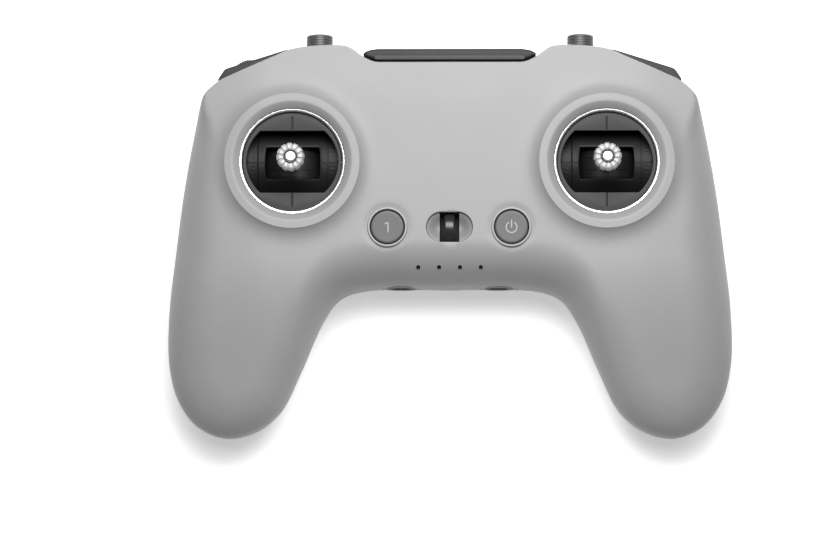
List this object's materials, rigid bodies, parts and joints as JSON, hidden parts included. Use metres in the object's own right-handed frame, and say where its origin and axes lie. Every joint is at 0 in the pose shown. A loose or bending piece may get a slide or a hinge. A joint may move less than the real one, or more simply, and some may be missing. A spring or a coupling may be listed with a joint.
{
  "type": "radio transmitter controller",
  "caption": "Handheld radio transmitter with twin control sticks, press keys, toggle switches, a tilt dial, a lanyard bar and rubber-padded grips, lying on its back",
  "frame": {"origin": "centre of the bounding box's bottom face, on the surface that the two rubber pads rest on", "axes": "+X towards the user's right, +Y towards the top edge with the switches, +Z out of the face with the sticks"},
  "size_m": [0.1904, 0.1365, 0.051],
  "materials": {
    "shell": "matte moulded plastic with a fine grain, warm mid grey",
    "dark_trim": "satin dark grey plastic",
    "key_plastic": "satin grey key plastic",
    "black_plastic": "fine-grained black plastic",
    "rubber": "soft dark grey rubber",
    "steel": "turned steel",
    "bright_aluminium": "bright machined aluminium",
    "circuit_board": "green solder mask on glass-fibre board",
    "cell_wrap": "shrink-wrapped battery cell",
    "light_guide": "milky clear light guide"
  },
  "bodies": {
    "casing": {"front_shell": "shell", "back_shell": "shell", "lanyard_cup": "shell", "antenna_cover": "dark_trim", "shoulder_trim_left": "dark_trim", "shoulder_trim_right": "dark_trim", "gimbal_cover_left": "dark_trim", "gimbal_cover_right": "dark_trim", "lanyard_bar": "dark_trim", "gimbal_frame_left": "black_plastic", "gimbal_frame_right": "black_plastic", "switch_housing_left": "black_plastic", "switch_housing_right": "black_plastic", "battery_tray": "black_plastic", "grip_pad_left": "rubber", "grip_pad_right": "rubber", "stick_sleeve_left": "rubber", "stick_sleeve_right": "rubber", "case_screw_1": "steel", "case_screw_2": "steel", "case_screw_3": "steel", "case_screw_4": "steel", "case_screw_5": "steel", "case_screw_6": "steel", "dial_axle": "steel", "power_dome": "steel", "custom_dome": "steel", "usb_c_port": "steel", "gimbal_trim_ring_left": "bright_aluminium", "gimbal_trim_ring_right": "bright_aluminium", "main_board": "circuit_board", "hall_board_left": "circuit_board", "hall_board_right": "circuit_board", "antenna_board_left": "circuit_board", "antenna_board_right": "circuit_board", "battery_cell_lower": "cell_wrap", "battery_cell_upper": "cell_wrap", "light_guide": "light_guide"},
    "left_pitch": {"pitch_yoke_left": "black_plastic"},
    "left_stick": {"roll_yoke_left": "black_plastic", "stick_post_left": "steel", "stick_tip_left": "bright_aluminium"},
    "right_pitch": {"pitch_yoke_right": "black_plastic"},
    "right_stick": {"roll_yoke_right": "black_plastic", "stick_post_right": "steel", "stick_tip_right": "bright_aluminium"},
    "power_key": {"power_button": "key_plastic"},
    "custom_key": {"custom_button": "key_plastic"},
    "record_key": {"record_button": "key_plastic"},
    "start_stop_key": {"start_stop_button": "key_plastic"},
    "pause_key": {"pause_button": "key_plastic"},
    "dial": {"gimbal_dial": "black_plastic"},
    "left_toggle": {"switch_lever_left": "steel", "switch_knob_left": "dark_trim"},
    "right_toggle": {"switch_lever_right": "steel", "switch_knob_right": "dark_trim"}
  },
  "joints": [
    {"name": "left_stick_pitch", "type": "hinge", "parent": "casing", "child": "left_pitch", "pos_m": [-0.0528, 0.0242, 0.016], "axis": [1, 0, 0], "range_deg": [-20, 20], "stiffness_Nm_per_rad": 0.04},
    {"name": "left_stick_roll", "type": "hinge", "parent": "left_pitch", "child": "left_stick", "pos_m": [-0.0528, 0.0242, 0.016], "axis": [0, 1, 0], "range_deg": [-20, 20], "stiffness_Nm_per_rad": 0.04},
    {"name": "right_stick_pitch", "type": "hinge", "parent": "casing", "child": "right_pitch", "pos_m": [0.0528, 0.0242, 0.016], "axis": [1, 0, 0], "range_deg": [-20, 20], "stiffness_Nm_per_rad": 0.04},
    {"name": "right_stick_roll", "type": "hinge", "parent": "right_pitch", "child": "right_stick", "pos_m": [0.0528, 0.0242, 0.016], "axis": [0, 1, 0], "range_deg": [-20, 20], "stiffness_Nm_per_rad": 0.04},
    {"name": "power_press", "type": "slide", "parent": "casing", "child": "power_key", "axis": [0, 0, -1], "range_m": [0, 0.001], "stiffness_N_per_m": 600},
    {"name": "custom_press", "type": "slide", "parent": "casing", "child": "custom_key", "axis": [0, 0, -1], "range_m": [0, 0.001], "stiffness_N_per_m": 600},
    {"name": "record_press", "type": "slide", "parent": "casing", "child": "record_key", "axis": [-0.3003, -0.9538, 0], "range_m": [0, 0.0008], "stiffness_N_per_m": 500},
    {"name": "start_stop_press", "type": "slide", "parent": "casing", "child": "start_stop_key", "axis": [-0.3003, -0.9538, 0], "range_m": [0, 0.0008], "stiffness_N_per_m": 500},
    {"name": "pause_press", "type": "slide", "parent": "casing", "child": "pause_key", "axis": [0.3003, -0.9538, 0], "range_m": [0, 0.0008], "stiffness_N_per_m": 500},
    {"name": "dial_turn", "type": "hinge", "parent": "casing", "child": "dial", "pos_m": [-0.06771, 0.05407, 0.019], "axis": [0, 0, 1], "range_deg": [-30, 30], "stiffness_Nm_per_rad": 0.01},
    {"name": "left_toggle_tilt", "type": "hinge", "parent": "casing", "child": "left_toggle", "pos_m": [-0.0442, 0.0545, 0.019], "axis": [1, 0, 0], "range_deg": [-12, 12]},
    {"name": "right_toggle_tilt", "type": "hinge", "parent": "casing", "child": "right_toggle", "pos_m": [0.0442, 0.0545, 0.019], "axis": [1, 0, 0], "range_deg": [-12, 12]}
  ]
}
